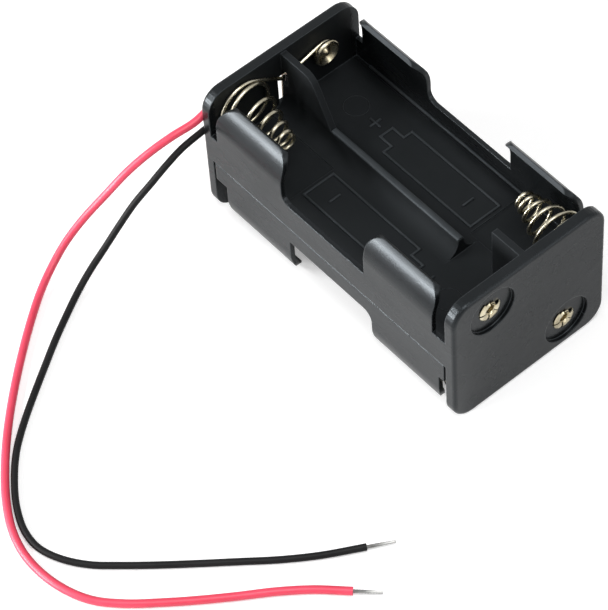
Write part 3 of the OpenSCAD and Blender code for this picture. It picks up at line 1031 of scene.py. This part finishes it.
@dataclass
class BayMoulding:
    """What is moulded on a bay's floor: a plain cell outline, polarity signs and fine steps.

    Its lengths are in millimetres, and its places are those of the upper back bay.

    Attributes:
        name: The piece's name.
        side: 1 for a back bay, -1 for a front one.
        layer: 1 for an upper bay, -1 for a lower one.
        line: The width of a raised line.
        rise: Its height.
        sink: How deep the mouldings reach into the body.
        trim: How much narrower and lower a line across the bay is.
        edge: How far the lines' edges are rounded.
        pin_at: The middle of the ejector pin's mark.
        pin_radius: The mark's radius.
        pin_line: The radius of its raised line.
        step_ends: Where the step along the side wall starts and ends.
        step_size: The step's width and height.
        step_edge: How far its edges are rounded.
        crest_ends: Where the divider's rounded top starts and ends.
        crest_foot: Its foot above the middle plane.
        crest_radius: Half its width.
        crest_squash: Its height as a share of that.
    """

    name: str
    side: int
    layer: int
    line: float = 0.42
    rise: float = 0.26
    sink: float = 0.05
    trim: float = 0.02
    edge: float = 0.12
    pin_at: tuple[float, float] = (-20.0, 7.8)
    pin_radius: float = 2.2
    pin_line: float = 0.05
    step_ends: tuple[float, float] = (-25.0, 12.5)
    step_size: tuple[float, float] = (0.4, 0.42)
    step_edge: float = 0.13
    crest_ends: tuple[float, float] = (-16.4, 14.35)
    crest_foot: float = 4.3
    crest_radius: float = 0.6
    crest_squash: float = 0.55

    @property
    def floor(self) -> float:
        """The height of the bay's floor."""
        return MID_Z + self.layer * WEB_TOP

    def spot(self, x: float, y: float) -> tuple[float, float]:
        """Turns a place in the upper back bay into one in this bay."""
        return x * self.side * self.layer, y * self.side

    def bar(self, x0: float, y0: float, x1: float, y1: float) -> bpy.types.Object:
        """Raises one straight line on the floor between two places.

        A line across the bay is a trace narrower and lower, so that where two lines meet no
        two faces lie in one plane.
        """
        (ax, ay), (bx, by) = self.spot(x0, y0), self.spot(x1, y1)
        trim = self.trim if x0 == x1 else 0.0
        half = self.line / 2 - trim
        low, high = sorted((self.floor - (self.sink + trim) * self.layer,
                            self.floor + (self.rise - trim) * self.layer))
        return block((min(ax, bx) - half, min(ay, by) - half, low),
                     (max(ax, bx) + half, max(ay, by) + half, high), self.edge)

    def outline(self) -> list[bpy.types.Object]:
        """Draws a plain cell with its button end towards the rivet."""
        left, right, near, far = -9.5, 11.6, 4.5, 10.8
        button, low, high = -12.3, 6.3, 9.0
        return [self.bar(*line) for line in (
            (left, near, right, near), (left, far, right, far), (right, near, right, far),
            (left, near, left, low), (left, high, left, far), (button, low, left, low),
            (button, high, left, high), (button, low, button, high))]

    def signs(self) -> list[bpy.types.Object]:
        """Raises a plus by the rivet's end and a minus by the spring's."""
        return [self.bar(*line) for line in (
            (-16.2, 7.65, -14.0, 7.65), (-15.1, 6.55, -15.1, 8.75), (7.6, 6.6, 7.6, 8.7))]

    def ejector(self) -> bpy.types.Object:
        """Leaves the faint round mark of an ejector pin."""
        clear_selection()
        x, y = self.spot(*self.pin_at)
        bpy.ops.mesh.primitive_torus_add(
            major_radius=self.pin_radius * MM, minor_radius=self.pin_line * MM,
            major_segments=64, minor_segments=8, location=(x * MM, y * MM, self.floor * MM))
        return bpy.context.object

    def ledge(self) -> bpy.types.Object:
        """Runs the small step along the foot of the side wall."""
        (width, rise), bite = self.step_size, 0.1
        ends = sorted(self.spot(x, 0)[0] for x in self.step_ends)
        depth = sorted((self.side * (WALL_IN - width), self.side * (WALL_IN + bite)))
        height = sorted((self.floor - self.sink * self.layer, self.floor + rise * self.layer))
        return block((ends[0], depth[0], height[0]), (ends[1], depth[1], height[1]),
                     self.step_edge)

    def crest(self) -> bpy.types.Object:
        """Rounds the top of the low divider, once for each layer."""
        foot = (MID_Z + self.layer * self.crest_foot) * MM
        ends = sorted(self.spot(x, 0)[0] for x in self.crest_ends)
        clear_selection()
        bpy.ops.mesh.primitive_cylinder_add(
            vertices=32, radius=self.crest_radius * MM, depth=(ends[1] - ends[0]) * MM,
            location=(sum(ends) / 2 * MM, 0, foot), rotation=(0, math.pi / 2, 0))
        ridge = bpy.context.object
        bpy.ops.object.transform_apply(location=True, rotation=True, scale=True)
        bpy.ops.transform.resize(value=(1, 1, self.crest_squash), center_override=(0, 0, foot))
        bpy.ops.object.transform_apply(location=True, rotation=True, scale=True)
        return ridge

    def build(self, plastic: bpy.types.Material) -> None:
        """Makes the mouldings as one piece.

        Args:
            plastic: Their finish, paler than the body's as a painted highlight.
        """
        parts = [*self.outline(), *self.signs(), self.ejector(), self.ledge()]
        if self.side == 1:
            parts.append(self.crest())
        finish_piece(join(parts, self.name), plastic)
        LOG.info("%s raised", self.name)


@dataclass
class Holder:
    """The moulded body with its contacts, springs and solder."""

    plastic: MouldedPlastic = MouldedPlastic()
    # The mouldings take paler tones than the body, a painted highlight for the light that their
    # raised lines catch.
    painted_highlight: MouldedPlastic = MouldedPlastic(
        "highlit_moulding", (0.020, 0.023, 0.025), (0.034, 0.038, 0.041), (0.4, 0.5), 0.5)
    nickel: Plated = Plated("spring_nickel", (0.62, 0.58, 0.46), (0.36, 0.33, 0.24), (0.18, 0.36))
    brass: Plated = Plated("rivet_brass", (0.76, 0.70, 0.52), (0.46, 0.39, 0.25), (0.18, 0.36))
    solder: Plated = Plated("solder", (0.62, 0.62, 0.61), (0.36, 0.36, 0.36), (0.2, 0.4))

    def build(self) -> None:
        """Dresses the moulding and builds the pieces in it."""
        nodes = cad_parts
        plastic, painted_highlight, solder = self.plastic.build(), self.painted_highlight.build(), self.solder.build()
        nickel, brass = self.nickel.build(), self.brass.build()
        dress(nodes["body"], plastic)
        for name in ("red_joint", "black_joint"):
            dress(nodes[name], solder)
        for spring in (
                ContactSpring("spring_1", Place.UPPER_FRONT_LEAD_END),
                ContactSpring("spring_2", Place.UPPER_BACK_RIVET_END),
                ContactSpring("spring_3", Place.LOWER_BACK_LEAD_END),
                ContactSpring("spring_4", Place.LOWER_FRONT_RIVET_END)):
            spring.build(nickel)
        for rivet in (
                Rivet("rivet_1", Place.UPPER_FRONT_RIVET_END),
                Rivet("rivet_2", Place.UPPER_BACK_LEAD_END),
                Rivet("rivet_3", Place.LOWER_BACK_RIVET_END),
                Rivet("rivet_4", Place.LOWER_FRONT_LEAD_END, lift=0.02)):
            rivet.build(brass)
        for side in (1, -1):
            for layer, word in ((1, "upper"), (-1, "lower")):
                bay = f"bay_mark_{word}_{'back' if side > 0 else 'front'}"
                BayMoulding(bay, side, layer).build(painted_highlight)
        LOG.info("holder dressed")


def main() -> None:
    """Builds the studio, the leads and the holder."""
    logging.basicConfig(level=logging.INFO, format="%(name)s: %(message)s")
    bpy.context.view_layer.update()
    Studio().build()
    tin = Plated("tinned_wire", (0.42, 0.42, 0.41), (0.2, 0.2, 0.19), (0.25, 0.45)).build()
    Lead("red_lead", RED_ROUTE, 1.4 * MM, 0.1770,
         Insulation("red_insulation", (0.70, 0.044, 0.088), (0.80, 0.060, 0.115))).build(tin)
    Lead("black_lead", BLACK_ROUTE, 1.2 * MM, 0.1470,
         Insulation("black_insulation", (0.006, 0.006, 0.0065), (0.011, 0.011, 0.0115),
                    (0.4, 0.6), 0.16, 0.0)).build(tin)
    Holder().build()


if __name__ == "__main__":
    main()
